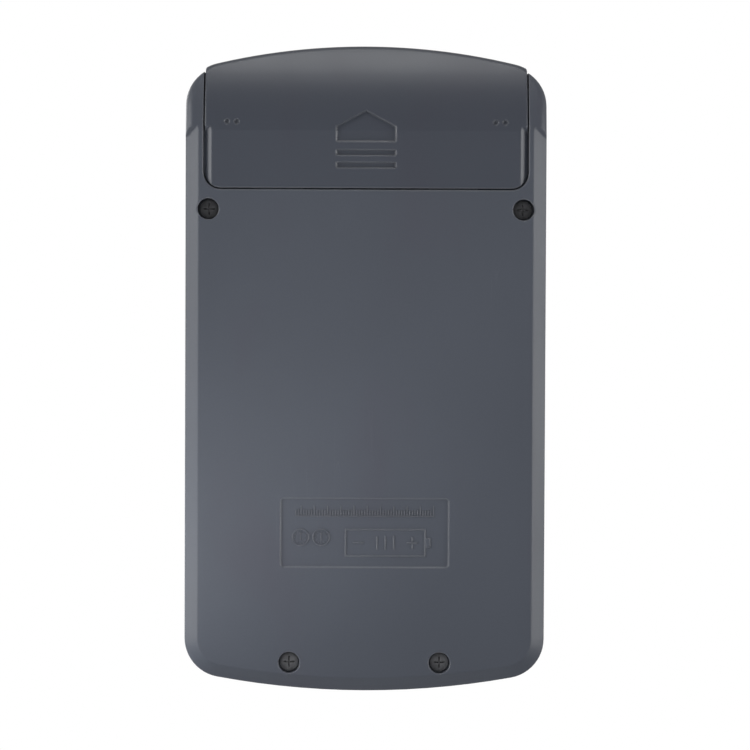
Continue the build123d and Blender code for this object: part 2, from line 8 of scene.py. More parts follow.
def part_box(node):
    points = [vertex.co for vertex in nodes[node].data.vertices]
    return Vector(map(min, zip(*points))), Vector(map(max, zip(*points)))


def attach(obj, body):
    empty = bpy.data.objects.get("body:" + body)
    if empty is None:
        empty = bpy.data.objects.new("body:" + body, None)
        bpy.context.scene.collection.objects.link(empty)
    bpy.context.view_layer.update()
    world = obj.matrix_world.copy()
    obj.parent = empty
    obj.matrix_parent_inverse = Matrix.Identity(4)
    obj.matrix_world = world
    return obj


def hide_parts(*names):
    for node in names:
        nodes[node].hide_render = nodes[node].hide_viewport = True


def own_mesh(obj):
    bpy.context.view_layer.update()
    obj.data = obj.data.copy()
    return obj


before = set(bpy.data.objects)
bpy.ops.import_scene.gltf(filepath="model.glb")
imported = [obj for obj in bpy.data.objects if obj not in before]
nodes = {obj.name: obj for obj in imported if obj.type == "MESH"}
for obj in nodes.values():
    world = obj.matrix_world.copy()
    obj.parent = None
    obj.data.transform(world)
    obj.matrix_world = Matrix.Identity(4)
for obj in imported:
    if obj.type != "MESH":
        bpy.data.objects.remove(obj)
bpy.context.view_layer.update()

mm = 0.001
bpy.context.scene.view_settings.view_transform = "Standard"


class Value:  # one shader value, whose arithmetic adds Math nodes
    def __init__(self, shade, socket):
        self.shade = shade
        self.socket = socket

    def maths(self, operation, *inputs):
        return self.shade.add("Math", {"operation": operation}, dict(enumerate(inputs)))

    def __add__(self, other):
        return self.maths("ADD", self, other)

    def __sub__(self, other):
        return self.maths("SUBTRACT", self, other)

    def __mul__(self, other):
        return self.maths("MULTIPLY", self, other)

    def __truediv__(self, other):
        return self.maths("DIVIDE", self, other)

    def __rsub__(self, other):
        return self.maths("SUBTRACT", other, self)

    def __abs__(self):
        return self.maths("ABSOLUTE", self)

    __radd__ = __add__
    __rmul__ = __mul__

    def most(self, other):
        return self.maths("MAXIMUM", self, other)

    def least(self, other):
        return self.maths("MINIMUM", self, other)

    def root(self):
        return self.maths("SQRT", self)

    def ramp(self, low, high, first=0.0, last=1.0):  # smooth step between two limits
        inputs = {"Value": self, "From Min": low, "From Max": high, "To Min": first, "To Max": last}
        return self.shade.add("MapRange", {"interpolation_type": "SMOOTHSTEP"}, inputs)

    def between(self, low, high, edge):  # 1 from low to high, with soft ends
        return self.ramp(low - edge, low + edge) * self.ramp(high - edge, high + edge, 1.0, 0.0)

    def upTo(self, limit):  # 1 where the value is under a limit, with a hard end
        return (limit - self).ramp(0.0, 1e-6)

    def output(self, name):  # another output of the same node
        return Value(self.shade, self.socket.node.outputs[name])


class Shade:  # the node tree of a material or a world
    def __init__(self, block):
        block.use_nodes = True
        self.block = block
        self.tree = block.node_tree
        self.tree.nodes.clear()

    def add(self, kind, settings=None, inputs=None, pick=0):
        node = self.tree.nodes.new("ShaderNode" + kind)
        for key, value in (settings or {}).items():
            setattr(node, key, value)
        for key, value in (inputs or {}).items():
            if isinstance(value, Value):
                self.tree.links.new(value.socket, node.inputs[key])
            else:
                node.inputs[key].default_value = value
        return Value(self, node.outputs[pick]) if node.outputs else None

    def place(self):
        return self.add("TexCoord", pick="Object")

    def axes(self):
        split = self.add("SeparateXYZ", inputs={0: self.place()})
        return split, split.output("Y"), split.output("Z")

    def noise(self, scale, detail=2.0, spot=None):
        inputs = {"Vector": spot or self.place(), "Scale": scale, "Detail": detail, "Roughness": 0.5}
        return self.add("TexNoise", inputs=inputs)

    def stretched(self, factors, turn=(0.0, 0.0, 0.0)):
        return self.add("Mapping", inputs={"Vector": self.place(), "Scale": factors, "Rotation": turn})

    def colour(self, share, first, second):
        return self.add("Mix", {"data_type": "RGBA", "blend_type": "MIX"}, {0: share, 6: first, 7: second}, 2)

    def bump(self, height, distance, under=None):  # over the piece's own normal, or another
        inputs = {"Height": height, "Distance": distance, "Strength": 1.0}
        if under is not None:
            inputs["Normal"] = under
        return self.add("Bump", inputs=inputs)

    def rounded(self, radius):  # the normal that rounded edges would have
        return self.add("Bevel", {"samples": 4}, {"Radius": radius})

    def wear(self, soft):  # 1 along sharp edges, 0 on open faces
        true = self.add("NewGeometry", pick="Normal")
        same = self.add("VectorMath", {"operation": "DOT_PRODUCT"}, {0: soft, 1: true}, "Value")
        return (1 - same).ramp(0.02, 0.3)

    def scratches(self, scale, turn, thin=0.004):  # sparse fine lines
        spot = self.stretched((scale, scale * 0.05, scale), (0.0, 0.0, turn))
        line = abs(self.noise(1.0, 1.0, spot) - 0.5).ramp(0.0, thin, 1.0, 0.0)
        patch = self.noise(scale * 0.12, 2.0).ramp(0.58, 0.68)
        return line * patch

    def surface(self, inputs):
        shader = self.add("BsdfPrincipled", inputs=inputs)
        self.add("OutputMaterial", inputs={"Surface": shader})
        return self.block


def grey(level, tint=(1.0, 1.0, 1.0)):
    return tuple(level * part for part in tint) + (1.0,)


# finishes

def mouldedPlastic(name, look):  # spark textured plastic, with cloudy colour, worn edges and fine scratches
    shade = Shade(bpy.data.materials.new(name))
    base = look["colour"] + (1.0,)
    cloud = shade.noise(look["cloud"], 3.0)
    grain = shade.noise(look["grain"], 2.0)
    speck = shade.noise(look["grain"] * 2.3, 1.0)
    smear = shade.noise(look["cloud"] * 2.4, 3.0, shade.stretched((1.0, 0.45, 1.0), (0.0, 0.0, 0.5)))
    soft = shade.rounded(look["edge"])
    worn = shade.wear(soft)
    lines = shade.scratches(170.0, 0.9) + shade.scratches(230.0, -0.5)
    tone = (cloud - 0.5) * look["cloudDepth"] + (grain - 0.5) * look["grainDepth"] + 0.5
    lighter = tuple(part * look["spread"] for part in look["colour"]) + (1.0,)
    colour = shade.colour(tone, base, lighter)
    tint = tuple(part * hue for part, hue in zip(look["colour"], look["tint"])) + (1.0,)
    colour = shade.colour(smear.ramp(0.5, 0.75, 0.0, 0.5), colour, tint)
    rub = worn * look["wear"] + lines * look["scratch"]
    colour = shade.colour(rub.least(1.0), colour, look["rubbed"] + (1.0,))
    rough = (look["rough"] + (smear - 0.5) * 0.12 + (speck - 0.5) * 0.10 - worn * 0.10).least(1.0)
    height = grain * 0.6 + speck * 0.4 - lines * look["scratch"]
    return shade.surface({
        "Base Color": colour,
        "Roughness": rough,
        "Normal": shade.bump(height, look["bump"], soft),
        "IOR": 1.5,
        "Specular IOR Level": look["gloss"],
    })


casingLook = {
    "colour": (0.038, 0.0428, 0.054), "spread": 1.25, "tint": (1.08, 0.98, 1.02), "rubbed": (0.16, 0.165, 0.18),
    "cloud": 24.0, "cloudDepth": 1.1, "grain": 2600.0, "grainDepth": 0.7, "edge": 0.5 * mm, "wear": 0.5,
    "rough": 0.46, "bump": 0.010 * mm, "gloss": 0.42, "scratch": 0.06,
}
coverLook = dict(casingLook, colour=(0.029, 0.033, 0.043), rough=0.38, bump=0.006 * mm, gloss=0.45)
frontLook = dict(casingLook, cloud=30.0)
digitLook = dict(
    casingLook, colour=(0.42, 0.43, 0.45), spread=1.08, rubbed=(0.50, 0.51, 0.53), grain=3200.0,
    rough=0.40, bump=0.004 * mm, edge=0.4 * mm, wear=0.35, gloss=0.5, cloud=60.0, scratch=0.12,
)
functionLook = dict(digitLook, colour=(0.085, 0.095, 0.120), rubbed=(0.19, 0.20, 0.22))
clearLook = dict(digitLook, colour=(0.52, 0.075, 0.035), rubbed=(0.62, 0.20, 0.14))


def printInk(name, colour, fleck):  # pad printed ink with faint pinholes
    shade = Shade(bpy.data.materials.new(name))
    pores = shade.noise(5200.0, 2.0).ramp(0.62, 0.72)
    cloud = shade.noise(300.0, 2.0)
    ink = shade.colour(pores * 0.5 + (cloud - 0.5) * 0.2, colour + (1.0,), fleck + (1.0,))
    return shade.surface({
        "Base Color": ink,
        "Roughness": cloud * 0.15 + 0.38,
        "Normal": shade.bump(cloud, 0.004 * mm),
    })


def metalFinish(name, look):  # plated or raw metal, with drawn lines, tarnish and worn edges
    shade = Shade(bpy.data.materials.new(name))
    drawn = shade.noise(420.0, 3.0, shade.stretched(look["draw"]))
    stain = shade.noise(look["stainScale"], 4.0).ramp(0.45, 0.7)
    worn = shade.wear(shade.rounded(0.15 * mm))
    colour = shade.colour((drawn - 0.5) * 0.5 + 0.3, look["colour"] + (1.0,), look["bright"] + (1.0,))
    colour = shade.colour(stain * look["stain"], colour, look["dark"] + (1.0,))
    colour = shade.colour(worn * 0.6, colour, look["bright"] + (1.0,))
    return shade.surface({
        "Base Color": colour,
        "Metallic": look["metal"] - stain * look["stain"] * 0.3,
        "Roughness": drawn * 0.16 + stain * 0.12 + look["rough"],
        "Normal": shade.bump(drawn, 0.006 * mm),
    })


steelLook = {
    "colour": (0.13, 0.132, 0.142), "bright": (0.30, 0.30, 0.31), "dark": (0.06, 0.06, 0.066), "metal": 0.6,
    "rough": 0.42, "stain": 0.5, "stainScale": 900.0, "draw": (1.0, 1.0, 4.0),
}
platedLook = dict(
    steelLook, colour=(0.55, 0.54, 0.51), bright=(0.78, 0.77, 0.74), dark=(0.26, 0.23, 0.19), metal=1.0,
    rough=0.20, stain=0.35, stainScale=240.0, draw=(1.0, 6.0, 1.0),
)
boardSteelLook = dict(platedLook, rough=0.28, stainScale=700.0)


def cellFinish(look):  # printed sleeve with bare rolled ends
    shade = Shade(bpy.data.materials.new("cellSleeve"))
    x, y, z = shade.axes()
    inside = x.between(*look["sleeve"], 0.05 * mm)
    band = x.ramp(look["band"] - 0.1 * mm, look["band"] + 0.1 * mm)
    line = abs(x - look["line"]).ramp(0.35 * mm, 0.45 * mm, 1.0, 0.0)
    across = abs(y - look["axis"][0])
    below = z.ramp(look["axis"][1] - mm, look["axis"][1], 1.0, 0.0)
    armLong, armWide = look["signLong"] * mm, look["signWide"] * mm
    along, alongMinus = abs(x - look["plusAt"]), abs(x - look["minusAt"])
    plus = (across.upTo(armLong) * along.upTo(armWide)).most(along.upTo(armLong) * across.upTo(armWide))
    minus = alongMinus.upTo(armWide) * across.upTo(armLong)
    mark = (plus.most(minus) * below).least(1.0)
    scuff = shade.noise(look["scuff"], 4.0, shade.stretched((0.2, 1.0, 1.0)))
    sleeve = shade.colour(band, look["main"] + (1.0,), look["second"] + (1.0,))
    sleeve = shade.colour(line, sleeve, look["stripe"] + (1.0,))
    sleeve = shade.colour(mark, sleeve, look["stripe"] + (1.0,))
    sleeve = shade.colour(scuff.ramp(0.55, 0.85, 0.0, 0.2), sleeve, grey(0.4))
    steel = shade.colour(scuff, grey(0.62), grey(0.45, (1.0, 0.98, 0.93)))
    return shade.surface({
        "Base Color": shade.colour(inside, steel, sleeve),
        "Metallic": 1.0 - inside * 0.75,
        "Roughness": scuff * 0.2 + 0.2,
        "Normal": shade.bump(scuff, 0.004 * mm),
    })


def wireFinish(name, colour):  # soft insulation with a slight bloom
    shade = Shade(bpy.data.materials.new(name))
    bloom = shade.noise(900.0, 3.0)
    tone = shade.colour(bloom * 0.5, colour + (1.0,), tuple(part * 0.6 + 0.05 for part in colour) + (1.0,))
    return shade.surface({
        "Base Color": tone,
        "Roughness": bloom * 0.2 + 0.35,
        "Normal": shade.bump(bloom, 0.01 * mm),
    })


def boardFinish():  # solder mask over copper runs
    shade = Shade(bpy.data.materials.new("solderMask"))
    grid = {"distance": "MANHATTAN", "feature": "F1"}
    cells = shade.add("TexVoronoi", grid, {"Vector": shade.place(), "Scale": 210.0})
    runs = abs(cells - 0.42).ramp(0.05, 0.09, 1.0, 0.0)
    weave = shade.noise(1500.0, 2.0, shade.stretched((1.0, 3.0, 1.0)))
    mask = shade.colour(weave, (0.012, 0.085, 0.035, 1.0), (0.018, 0.120, 0.050, 1.0))
    copper = shade.colour(runs * 0.7, mask, (0.070, 0.210, 0.060, 1.0))
    return shade.surface({
        "Base Color": copper,
        "Roughness": weave * 0.15 + 0.28,
        "Normal": shade.bump(runs + weave * 0.2, 0.02 * mm),
    })


def siliconeFinish():
    shade = Shade(bpy.data.materials.new("siliconeMat"))
    cloud = shade.noise(120.0, 3.0)
    dust = shade.noise(2400.0, 2.0).ramp(0.62, 0.75)
    tone = shade.colour(cloud, grey(0.30), grey(0.40, (1.0, 0.99, 0.95)))
    return shade.surface({
        "Base Color": shade.colour(dust * 0.4, tone, grey(0.6)),
        "Roughness": cloud * 0.15 + 0.5,
        "Normal": shade.bump(dust + cloud, 0.01 * mm),
    })


def pottingFinish():
    shade = Shade(bpy.data.materials.new("pottingResin"))
    cloud = shade.noise(500.0, 3.0)
    return shade.surface({
        "Base Color": shade.colour(cloud, grey(0.008), grey(0.02)),
        "Roughness": cloud * 0.2 + 0.2,
        "Normal": shade.bump(cloud, 0.03 * mm),
    })


def tapeFinish():
    shade = Shade(bpy.data.materials.new("foamTape"))
    cells = shade.noise(2600.0, 3.0)
    return shade.surface({
        "Base Color": shade.colour(cells, grey(0.02), grey(0.05)),
        "Roughness": cells * 0.2 + 0.6,
        "Normal": shade.bump(cells, 0.02 * mm),
    })


display = {  # the sloped display, in millimetres along the slope and out of it
    "lean": math.radians(15.6), "foot": (0.0, 15.0, 12.4), "middle": 12.3, "glass": -2.70,
    "window": (46.0, 12.5), "windowCorner": 1.0, "digit": (3.6, 7.2), "pitch": 4.95, "count": 8, "slant": 0.10,
    "stroke": 0.78, "gap": 0.10, "thick": 0.02, "shift": -0.6, "dotAt": 0.75, "dotHalf": 0.3,
    "border": 0.6, "lineAt": 0.75, "shadeFrom": -6.2, "shadeTo": -8.4,
}
slopeFrame = Matrix.Translation(Vector(display["foot"]) * mm) @ Matrix.Rotation(display["lean"], 4, "X")


def slopeAxes(shade):  # across and along the display, from its middle, in millimetres
    x, y, z = shade.axes()
    along = (y / mm - display["foot"][1]) * math.cos(display["lean"])
    along = along + (z / mm - display["foot"][2]) * math.sin(display["lean"]) - display["middle"]
    return x / mm, along


def roundedGap(across, along, wide, long, corner):  # distance outside a rounded rectangle
    a = (abs(across) - (wide / 2 - corner)).most(0.0)
    b = (abs(along) - (long / 2 - corner)).most(0.0)
    return (a * a + b * b).root() - corner


def lensFinish():  # clear window inside a black printed border with a fine silver line
    shade = Shade(bpy.data.materials.new("lensWindow"))
    across, along = slopeAxes(shade)
    wide, long = display["window"]
    gap = roundedGap(across, along, wide - display["border"], long - display["border"], display["windowCorner"])
    border = gap.ramp(-0.03, 0.03)
    line = abs(gap - display["lineAt"]).ramp(0.13, 0.19, 1.0, 0.0)
    haze = shade.noise(140.0, 4.0)
    fine = shade.noise(2800.0, 2.0)
    scratch = shade.scratches(260.0, 0.7, 0.003) + shade.scratches(330.0, -0.9, 0.003)
    printed = shade.colour(line, grey(0.006), grey(0.42))
    base = shade.colour(border, grey(0.10), printed)
    return shade.surface({
        "Base Color": shade.colour(scratch * 0.3, base, grey(0.3)),
        "Alpha": (border + 0.10 + scratch * 0.2).least(1.0),
        "Roughness": haze * 0.06 + fine * 0.03 + scratch * 0.2 + 0.03,
        "Normal": shade.bump(haze, 0.004 * mm),
        "IOR": 1.49,
    })


def glassFinish():  # grey green reflective display with faint electrodes, and painted shade past the lower edge of the window
    shade = Shade(bpy.data.materials.new("displayGlass"))
    across, along = slopeAxes(shade)
    cloud = shade.noise(70.0, 3.0)
    film = shade.noise(3500.0, 2.0)
    # painted shade: the glass darkens past the lower edge of the window, under the lens border
    edge = along.ramp(display["shadeTo"], display["shadeFrom"], 1.0, 0.0)
    tone = shade.colour(cloud, (0.270, 0.300, 0.235, 1.0), (0.310, 0.340, 0.275, 1.0))
    tone = shade.colour(film.ramp(0.4, 0.8, 0.0, 0.25), tone, (0.36, 0.39, 0.33, 1.0))
    tone = shade.colour(edge * 0.6, tone, (0.12, 0.13, 0.12, 1.0))
    return shade.surface({
        "Base Color": tone,
        "Roughness": film * 0.1 + cloud * 0.1 + 0.22,
        "Normal": shade.bump(film, 0.003 * mm),
    })


def segmentFinish(name, level, alpha):
    shade = Shade(bpy.data.materials.new(name))
    film = shade.noise(1800.0, 2.0)
    return shade.surface({
        "Base Color": shade.colour(film, grey(level), grey(level * 1.6, (0.95, 1.0, 1.05))),
        "Alpha": film * alpha * 0.2 + alpha * 0.9,
        "Roughness": film * 0.2 + 0.3,
    })


finishes = {
    "casing": mouldedPlastic("casingPlastic", casingLook),
    "cover": mouldedPlastic("coverPlastic", coverLook),
    "front": mouldedPlastic("frontPlastic", frontLook),
    "digit": mouldedPlastic("digitKeyPlastic", digitLook),
    "function": mouldedPlastic("functionKeyPlastic", functionLook),
    "clear": mouldedPlastic("clearKeyPlastic", clearLook),
    "darkInk": printInk("darkInk", (0.012, 0.013, 0.016), (0.08, 0.08, 0.09)),
    "whiteInk": printInk("whiteInk", (0.72, 0.73, 0.74), (0.40, 0.41, 0.42)),
    "steel": metalFinish("blackScrewSteel", steelLook),
    "plated": metalFinish("platedSpringSteel", platedLook),
    "boardSteel": metalFinish("boardScrewSteel", boardSteelLook),
    "redWire": wireFinish("redInsulation", (0.45, 0.02, 0.015)),
    "blackWire": wireFinish("blackInsulation", (0.015, 0.015, 0.017)),
    "board": boardFinish(),
    "silicone": siliconeFinish(),
    "potting": pottingFinish(),
    "tape": tapeFinish(),
    "lens": lensFinish(),
    "glass": glassFinish(),
    "segment": segmentFinish("segmentInk", 0.012, 0.94),
    "ghost": segmentFinish("restingSegment", 0.09, 0.10),
}
print("finishes made:", len(finishes))


# mesh helpers

def addPiece(name, bm, finish, body, angle=38.0):
    mesh = bpy.data.meshes.new(name)
    bm.to_mesh(mesh)
    bm.free()
    mesh.materials.append(finish)
    mesh.polygons.foreach_set("use_smooth", [True] * len(mesh.polygons))
    mesh.set_sharp_from_angle(angle=math.radians(angle))
    piece = bpy.data.objects.new(name, mesh)
    bpy.context.scene.collection.objects.link(piece)
    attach(piece, body)
    return piece


def addBlock(bm, low, high, turn=None):  # a block between two corners, in millimetres
    low, high = Vector(low), Vector(high)
    size = high - low
    place = Matrix.Translation((low + high) / 2 * mm) @ Matrix.Diagonal((*(size * mm), 1.0))
    made = bmesh.ops.create_cube(bm, size=1.0, matrix=(turn or Matrix.Identity(4)) @ place)
    return made["verts"]


def roundUprights(bm, verts, corner, segments):  # rounds the upright edges of a new block
    uprights = [
        edge for edge in set(edge for vert in verts for edge in vert.link_edges)
        if abs((edge.verts[0].co - edge.verts[1].co).normalized().z) > 0.99
    ]
    bmesh.ops.bevel(
        bm, geom=uprights, offset=corner * mm, segments=segments, profile=0.5, affect="EDGES", material=-1,
    )


def stepFace(bm, face, centre, factors, rise):  # new ring round a face, scaled about a centre and raised
    bmesh.ops.inset_region(bm, faces=[face], thickness=0.0, use_even_offset=False)
    space = Matrix.Translation(-centre)
    bmesh.ops.scale(bm, vec=(factors[0], factors[1], 1.0), space=space, verts=face.verts)
    bmesh.ops.translate(bm, vec=(0.0, 0.0, rise * mm), verts=face.verts)


def lathe(bm, profile, centre, axis, steps):  # profile points as (along, radius), in millimetres
    axis = Vector(axis)
    out = Vector((0.0, 0.0, 1.0)) if abs(axis.z) < 0.5 else Vector((1.0, 0.0, 0.0))
    verts = [bm.verts.new(Vector(centre) * mm + axis * a * mm + out * r * mm) for a, r in profile]
    edges = [bm.edges.new(pair) for pair in zip(verts, verts[1:])]
    bmesh.ops.spin(
        bm, geom=verts + edges, cent=Vector(centre) * mm, axis=axis, angle=math.tau, steps=steps, use_merge=True,
    )
    bmesh.ops.remove_doubles(bm, verts=bm.verts, dist=1e-7)
    bmesh.ops.recalc_face_normals(bm, faces=bm.faces)


def textMesh(name, words, size, thick):  # lettering as a solid mesh, centred on the origin
    curve = bpy.data.curves.new(name, "FONT")
    curve.body = words
    curve.size = size
    curve.extrude = thick / 2
    curve.align_x = "CENTER"
    curve.resolution_u = 4
    holder = bpy.data.objects.new(name, curve)
    bpy.context.scene.collection.objects.link(holder)
    bpy.context.view_layer.update()
    mesh = bpy.data.meshes.new_from_object(holder.evaluated_get(bpy.context.evaluated_depsgraph_get()))
    bpy.data.objects.remove(holder)
    bpy.data.curves.remove(curve)
    bm = bmesh.new()
    bm.from_mesh(mesh)
    bpy.data.meshes.remove(mesh)
    bmesh.ops.scale(bm, vec=(mm, mm, mm), verts=bm.verts)
    bmesh.ops.remove_doubles(bm, verts=bm.verts, dist=1e-7)
    low = Vector([min(vert.co[i] for vert in bm.verts) for i in range(3)])
    high = Vector([max(vert.co[i] for vert in bm.verts) for i in range(3)])
    bmesh.ops.translate(bm, vec=-(low + high) / 2, verts=bm.verts)
    return bm


# camera, air and lamps

shot = {
    "lens": 178.4, "place": (0.606, 23.638, -700.0), "aim": (-1.839, -1.174, 0.0), "roll": 0.25,
}


def makeCamera():
    camera = bpy.data.objects.new("studioCamera", bpy.data.cameras.new("studioCamera"))
    bpy.context.scene.collection.objects.link(camera)
    camera.data.lens = shot["lens"]
    camera.data.sensor_width = 36.0
    camera.data.clip_start = 0.01
    place, aim = Vector(shot["place"]) * mm, Vector(shot["aim"]) * mm
    back = (place - aim).normalized()
    up = (Vector((0.0, 1.0, 0.0)) - back * back.y).normalized()
    right = up.cross(back)
    turn = Matrix((right, up, back)).transposed().to_4x4()
    camera.matrix_world = Matrix.Translation(place) @ turn @ Matrix.Rotation(math.radians(shot["roll"]), 4, "Z")
    bpy.context.scene.camera = camera


air = {"ambient": 0.15, "above": 0.6, "below": 0.3}


def makeAir():  # white to the camera, and softer light on the object, dimmer from below
    world = bpy.data.worlds.new("studioAir")
    bpy.context.scene.world = world
    shade = Shade(world)
    path = shade.add("LightPath", pick="Is Camera Ray")
    seen = path.most(path.output("Is Transmission Ray"))
    heading = shade.add("SeparateXYZ", inputs={0: shade.add("TexCoord", pick="Generated")}, pick="Z")
    mirrored = path.output("Is Glossy Ray") * heading.ramp(-0.3, 0.3, air["below"], air["above"])
    strength = seen.most(mirrored).most(air["ambient"])
    lit = shade.add("Background", inputs={"Color": grey(1.0), "Strength": strength})
    shade.add("OutputWorld", inputs={"Surface": lit})


lamps = {  # name: place, width and height, power, and whether gloss shows it; aimed at the middle of the object
    "underLeft": ((0.50, 0.12, -0.20), (0.42, 0.42), 2.5, True),
    "underEdge": ((0.051, -0.042, -0.030), (0.02, 0.31), 0.128, False),
    "underFront": ((0.02, 0.05, -0.90), (0.25, 0.25), 2.6, False),
    "underRight": ((-0.55, 0.0, -0.20), (0.42, 0.42), 2.6, True),
    "underTop": ((0.0, 0.62, -0.15), (0.29, 0.29), 1.15, True),
    "underFoot": ((0.0, -0.62, -0.15), (0.29, 0.29), 1.3, False),
    "topKey": ((-0.45, -0.40, 0.75), (0.5, 0.5), 5.0, True),
    "topFill": ((0.60, 0.10, 0.55), (0.6, 0.6), 2.5, True),
}


sky = {"power": 1.4, "spread": 40.0, "turn": (20.0, -15.0)}  # broad light from above


def makeLamps():
    for name, (place, size, power, shine) in lamps.items():
        data = bpy.data.lights.new(name, "AREA")
        data.shape = "ELLIPSE"
        data.size, data.size_y = size
        data.energy = power
        lamp = bpy.data.objects.new(name, data)
        lamp.visible_camera = False
        lamp.visible_glossy = shine
        bpy.context.scene.collection.objects.link(lamp)
        turn = Vector(place).to_track_quat("Z", "Y").to_matrix().to_4x4()
        lamp.matrix_world = Matrix.Translation(Vector(place)) @ turn
    data = bpy.data.lights.new("topSoft", "SUN")
    data.energy = sky["power"]
    data.angle = math.radians(sky["spread"])
    sun = bpy.data.objects.new("topSoft", data)
    bpy.context.scene.collection.objects.link(sun)
    first, second = (math.radians(angle) for angle in sky["turn"])
    sun.matrix_world = Matrix.Rotation(first, 4, "X") @ Matrix.Rotation(second, 4, "Y")


table = {"half": 4.0, "under": 0.05, "pale": 0.86, "clearFrom": 0.2, "clearTo": 0.8}  # metres, but under in mm


def makeFloor():  # pale table, seen only from above, that fades into the white air
    bm = bmesh.new()
    bmesh.ops.create_grid(bm, x_segments=1, y_segments=1, size=table["half"])
    bmesh.ops.translate(bm, vec=(0.0, 0.0, -table["under"] * mm), verts=bm.verts)
    mesh = bpy.data.meshes.new("paleTable")
    bm.to_mesh(mesh)
    bm.free()
    shade = Shade(bpy.data.materials.new("paleTable"))
    path = shade.add("LightPath", pick="Is Camera Ray")
    side = shade.add("NewGeometry", pick="Backfacing")
    clear = shade.add("BsdfTransparent")
    matt = shade.add("BsdfDiffuse", inputs={"Color": grey(table["pale"])})
    x, y, _ = shade.axes()
    near = (x * x + y * y).root().ramp(table["clearFrom"], table["clearTo"], 1.0, 0.0)
    mixed = shade.add("MixShader", inputs={0: path * (1 - side) * near, 1: clear, 2: matt})
    shade.add("OutputMaterial", inputs={"Surface": mixed})
    mesh.materials.append(shade.block)
    floor = bpy.data.objects.new("paleTable", mesh)
    bpy.context.scene.collection.objects.link(floor)


makeCamera()
makeAir()
makeLamps()
makeFloor()
print("studio ready")


# keys

keyShape = {
    "flange": 0.8, "flangeCorner": 2.0, "shelf": 0.5, "rim": 0.95,
    "room": 1.3, "roomHigh": 3.1, "post": 1.5, "draft": 0.12, "dish": 0.35, "rimSteps": 6, "inkThick": 0.03,
}
keyPrints = {  # words, letter height in millimetres
    "key_recall": ("MRC", 2.5), "key_memory_minus": ("M−", 3.0), "key_memory_plus": ("M+", 3.0),
    "key_root": ("√", 4.4), "key_off": ("OFF", 2.7), "key_percent": ("%", 4.0), "key_sign": ("+/−", 3.2),
    "key_times": ("×", 5.6), "key_divide": ("÷", 5.6), "key_minus": ("−", 5.6), "key_plus": ("+", 5.8),
    "key_on_clear": ("ON/C", 2.5), "key_point": ("·", 9.0), "key_equals": ("=", 5.6),
}
for number in range(10):
    keyPrints[f"key_{number}"] = (str(number), 5.1)


def keyFinish(name):
    if name == "key_on_clear":
        return "clear", "clear_key"
    if name[4:].isdigit() or name == "key_point":
        return "digit", "digit_key"
    return "function", "function_key"


def makeKey(name):
    low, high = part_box(name)
    low, high = low / mm, high / mm
    finish, slot = keyFinish(name)
    bm = bmesh.new()
    verts = addBlock(bm, low, (high.x, high.y, low.z + keyShape["flange"]))
    roundUprights(bm, verts, keyShape["flangeCorner"], 6)
    bm.faces.ensure_lookup_table()
    top = max(bm.faces, key=lambda face: face.calc_center_median().z)
    under = min(bm.faces, key=lambda face: face.calc_center_median().z)
    centre = (low + high) / 2 * mm
    half = (high - low) / 2
    tall = high.z - low.z - keyShape["flange"]

    def ring(face, inset, rise):  # ring at a given inset from the flange's outline
        now = max(abs(vert.co.x - centre.x) for vert in face.verts) / mm
        nowLong = max(abs(vert.co.y - centre.y) for vert in face.verts) / mm
        stepFace(bm, face, centre, ((half.x - inset) / now, (half.y - inset) / nowLong), rise)

    shelf, rim, steps = keyShape["shelf"], keyShape["rim"], keyShape["rimSteps"]
    side = shelf + keyShape["draft"]
    ring(top, shelf, 0.0)
    ring(top, side, tall - rim)
    for step in range(1, steps + 1):  # soft rim of the cap
        angle = math.pi / 2 * step / steps
        before = math.pi / 2 * (step - 1) / steps
        ring(top, side + rim * (1 - math.cos(angle)), rim * (math.sin(angle) - math.sin(before)) * 0.8)
    ring(top, side + rim + keyShape["dish"], rim * 0.2)
    room, post, roomHigh = keyShape["room"], half.x - keyShape["post"], keyShape["roomHigh"]
    ring(under, room, 0.0)
    ring(under, room + 0.01, roomHigh)
    ring(under, post, 0.0)
    ring(under, post + 0.01, -roomHigh)
    bmesh.ops.recalc_face_normals(bm, faces=bm.faces)
    cap = addPiece(name + "_cap", bm, finishes[finish], name)
    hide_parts(name)
    words, size = keyPrints[name]
    ink = textMesh(name + "_print", words, size, keyShape["inkThick"])
    rise = (high.z + 0.3 * keyShape["inkThick"]) * mm
    bmesh.ops.translate(ink, vec=(centre.x, centre.y, rise), verts=ink.verts)
    colour = "darkInk" if finish == "digit" else "whiteInk"
    addPiece(name + "_print", ink, finishes[colour], name)


keyNames = sorted(name for name in nodes if name.startswith("key_") and name != "key_mat")
for keyName in keyNames:
    makeKey(keyName)
print("keys made:", len(keyNames))


# key mat: a sheet, and a dome under each key

mat = {"sheet": 0.8, "corner": 1.0, "foot": 3.7, "shoulder": 2.2, "keep": 0.42}


def makeMat():
    low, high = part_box("key_mat")
    low, high = low / mm, high / mm
    top = low.z + mat["sheet"]
    bm = bmesh.new()
    verts = addBlock(bm, low, (high.x, high.y, top))
    roundUprights(bm, verts, mat["corner"], 4)
    sheet = addPiece("matSheet", bm, finishes["silicone"], "case")
    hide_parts("key_mat")
    for name in keyNames:
        keyLow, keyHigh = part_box(name)
        centre = (keyLow + keyHigh) / 2 / mm
        foot, shoulder, tall = mat["foot"], mat["shoulder"], high.z - top
        profile = [
            (0.0, 0.0), (0.0, foot), (0.25, foot - 0.2), (tall - 0.35, shoulder + 0.15),
            (tall - 0.1, shoulder), (tall, shoulder - 0.2), (tall, 0.0),
        ]
        bm = bmesh.new()
        lathe(bm, profile, (centre.x, centre.y, top), (0.0, 0.0, 1.0), 20)
        dome = addPiece(name + "_dome", bm, finishes["silicone"], "case")
        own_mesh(dome)
        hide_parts("key_mat")


makeMat()
print("mat made")


# display: resting segments, and one lit nought with its point

